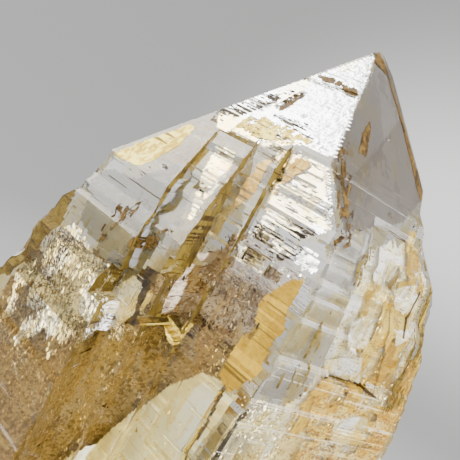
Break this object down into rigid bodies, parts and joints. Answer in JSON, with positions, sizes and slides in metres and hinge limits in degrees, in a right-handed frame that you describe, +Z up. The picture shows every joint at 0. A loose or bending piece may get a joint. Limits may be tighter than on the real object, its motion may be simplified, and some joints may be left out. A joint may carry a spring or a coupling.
{
  "type": "quartz crystal",
  "caption": "Large tapered quartz point with a six-sided tip, stepped and striated side faces, upright strips on the front, golden iron staining and a flat cut base to stand on.",
  "frame": {"origin": "centre of the bounding box at the flat cut base, on the surface it stands on", "axes": "+Z up along the crystal's long axis towards the tip; -Y towards the front edge between the two large front faces; +X to the viewer's right"},
  "size_m": [0.0712, 0.075, 0.1261],
  "materials": {
    "quartz": "polished",
    "iron_stain": "satin",
    "veil": "satin"
  },
  "bodies": {
    "root": {"crystal": "quartz"}
  },
  "joints": []
}
